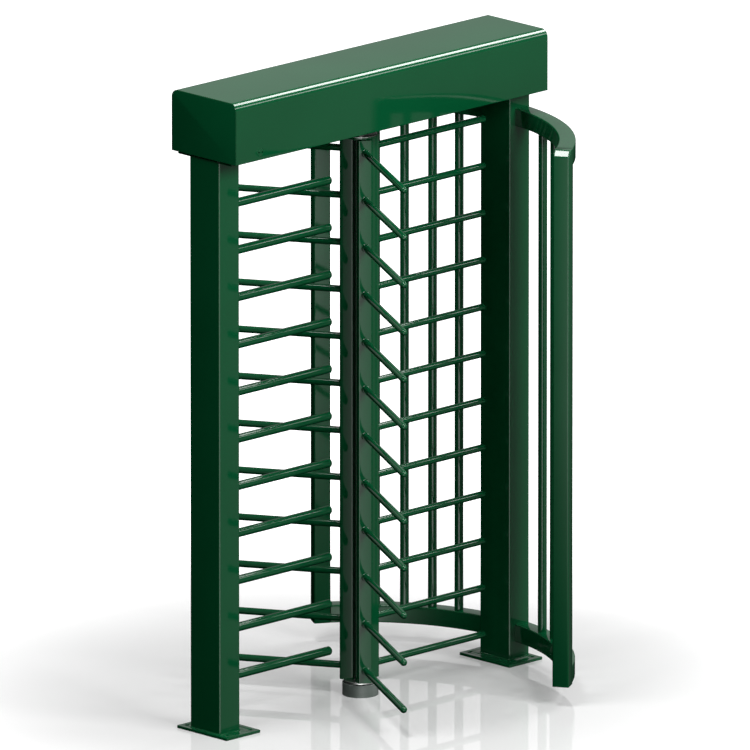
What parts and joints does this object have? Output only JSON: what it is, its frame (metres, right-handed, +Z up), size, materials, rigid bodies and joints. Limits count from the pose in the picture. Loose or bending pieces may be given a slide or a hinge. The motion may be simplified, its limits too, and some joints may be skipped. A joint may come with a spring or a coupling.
{
  "type": "full-height turnstile",
  "caption": "Full-height single-lane visitor counter turnstile: three-wing rotor of round arms, fixed comb, curved cage and box header on two floor-plated posts.",
  "frame": {"origin": "floor level on the rotor's vertical axis, which is also the centre of the floor drum", "axes": "+X along the header towards the cage, -Y towards the entering visitor, +Z up"},
  "size_m": [1.564, 1.295, 2.312],
  "materials": {
    "gloss_green": "gloss dark green polyester powder coat",
    "zinc_plated": "bright zinc plate",
    "machined_steel": "turned and ground steel, oiled",
    "cast_drum": "dark grey satin paint on a casting",
    "black_plastic": "moulded, fine texture",
    "box_aluminium": "satin",
    "circuit_board": "solder-resist board"
  },
  "bodies": {
    "frame": {"cable_gland": "black_plastic", "cage_bars_back": "gloss_green", "cage_bars_front": "gloss_green", "cage_bottom_rail_back": "gloss_green", "cage_bottom_rail_front": "gloss_green", "cage_top_rail_back": "gloss_green", "cage_top_rail_front": "gloss_green", "cage_upright_back": "gloss_green", "cage_upright_front": "gloss_green", "comb_bars": "gloss_green", "control_board": "circuit_board", "control_box": "box_aluminium", "control_lid": "box_aluminium", "counter_case": "black_plastic", "cover_screws": "zinc_plated", "damper_body": "box_aluminium", "floor_drum": "cast_drum", "header_cover": "gloss_green", "header_end_left": "gloss_green", "header_end_right": "gloss_green", "header_tray": "gloss_green", "left_floor_plate": "gloss_green", "left_post": "gloss_green", "lock_barrel": "zinc_plated", "lock_solenoids": "black_plastic", "lower_bearing": "machined_steel", "mechanism_plate": "zinc_plated", "pivot_pins": "machined_steel", "plate_pillars": "zinc_plated", "post_caps": "gloss_green", "return_springs": "machined_steel", "right_floor_plate": "gloss_green", "right_post": "gloss_green", "tray_bolts": "zinc_plated", "upper_bearing": "machined_steel", "upper_bearing_housing": "cast_drum"},
    "rotor": {"rotor_tube_a": "gloss_green", "rotor_tube_b": "gloss_green", "rotor_tube_c": "gloss_green", "rotor_arms_a": "gloss_green", "rotor_arms_b": "gloss_green", "rotor_arms_c": "gloss_green", "rotor_bottom_plate": "zinc_plated", "rotor_top_plate": "gloss_green", "rotor_top_washer": "zinc_plated", "rotor_shaft": "zinc_plated", "lock_wheel": "machined_steel", "index_cam": "machined_steel", "drive_gear": "machined_steel", "bearing_inner_rings": "machined_steel"},
    "entry_pawl": {"entry_pawl": "machined_steel"},
    "exit_pawl": {"exit_pawl": "machined_steel"},
    "entry_plunger": {"entry_plunger": "machined_steel"},
    "exit_plunger": {"exit_plunger": "machined_steel"},
    "index_arm": {"index_arm": "machined_steel"},
    "index_roller": {"index_roller": "machined_steel"},
    "counter_drive": {"counter_pinion": "machined_steel"},
    "damper_drive": {"damper_pinion": "machined_steel"},
    "cover_lock": {"lock_core": "gloss_green", "lock_cam": "zinc_plated"}
  },
  "joints": [
    {"name": "rotor_spin", "type": "hinge", "parent": "frame", "child": "rotor", "pos_m": [0, 0, 1], "axis": [0, 0, 1], "continuous": true},
    {"name": "counter_spin", "type": "hinge", "parent": "frame", "child": "counter_drive", "pos_m": [0.1, 0, 2.18], "axis": [0, 0, 1], "continuous": true},
    {"name": "damper_spin", "type": "hinge", "parent": "frame", "child": "damper_drive", "pos_m": [-0.1, 0, 2.18], "axis": [0, 0, 1], "continuous": true},
    {"name": "entry_pawl_swing", "type": "hinge", "parent": "frame", "child": "entry_pawl", "pos_m": [0.05833, -0.10296, 2.143], "axis": [0, 0, 1], "range_deg": [0, 10.5], "stiffness_Nm_per_rad": 0.4},
    {"name": "exit_pawl_swing", "type": "hinge", "parent": "frame", "child": "exit_pawl", "pos_m": [-0.05833, -0.10296, 2.143], "axis": [0, 0, -1], "range_deg": [0, 10.5], "stiffness_Nm_per_rad": 0.4},
    {"name": "entry_plunger_slide", "type": "slide", "parent": "frame", "child": "entry_plunger", "axis": [-0.866, 0.5, 0], "range_m": [0, 0.011]},
    {"name": "exit_plunger_slide", "type": "slide", "parent": "frame", "child": "exit_plunger", "axis": [0.866, 0.5, 0], "range_m": [0, 0.011]},
    {"name": "index_arm_swing", "type": "hinge", "parent": "frame", "child": "index_arm", "pos_m": [-0.0321, 0.0936, 2.153], "axis": [0, 0, -1], "range_deg": [0, 10], "stiffness_Nm_per_rad": 1.2},
    {"name": "index_roller_spin", "type": "hinge", "parent": "index_arm", "child": "index_roller", "pos_m": [-0.0646, 0.0373, 2.162], "axis": [0, 0, 1], "continuous": true},
    {"name": "cover_lock_turn", "type": "hinge", "parent": "frame", "child": "cover_lock", "pos_m": [-0.649, -0.15, 2.118], "axis": [0, 1, 0], "range_deg": [0, 90]}
  ],
  "couplings": [
    {"joint": "counter_spin", "follows": "rotor_spin", "ratio": -3},
    {"joint": "damper_spin", "follows": "rotor_spin", "ratio": -3},
    {"joint": "entry_plunger_slide", "follows": "entry_pawl_swing", "m_per_rad": 0.06},
    {"joint": "exit_plunger_slide", "follows": "exit_pawl_swing", "m_per_rad": 0.06}
  ]
}
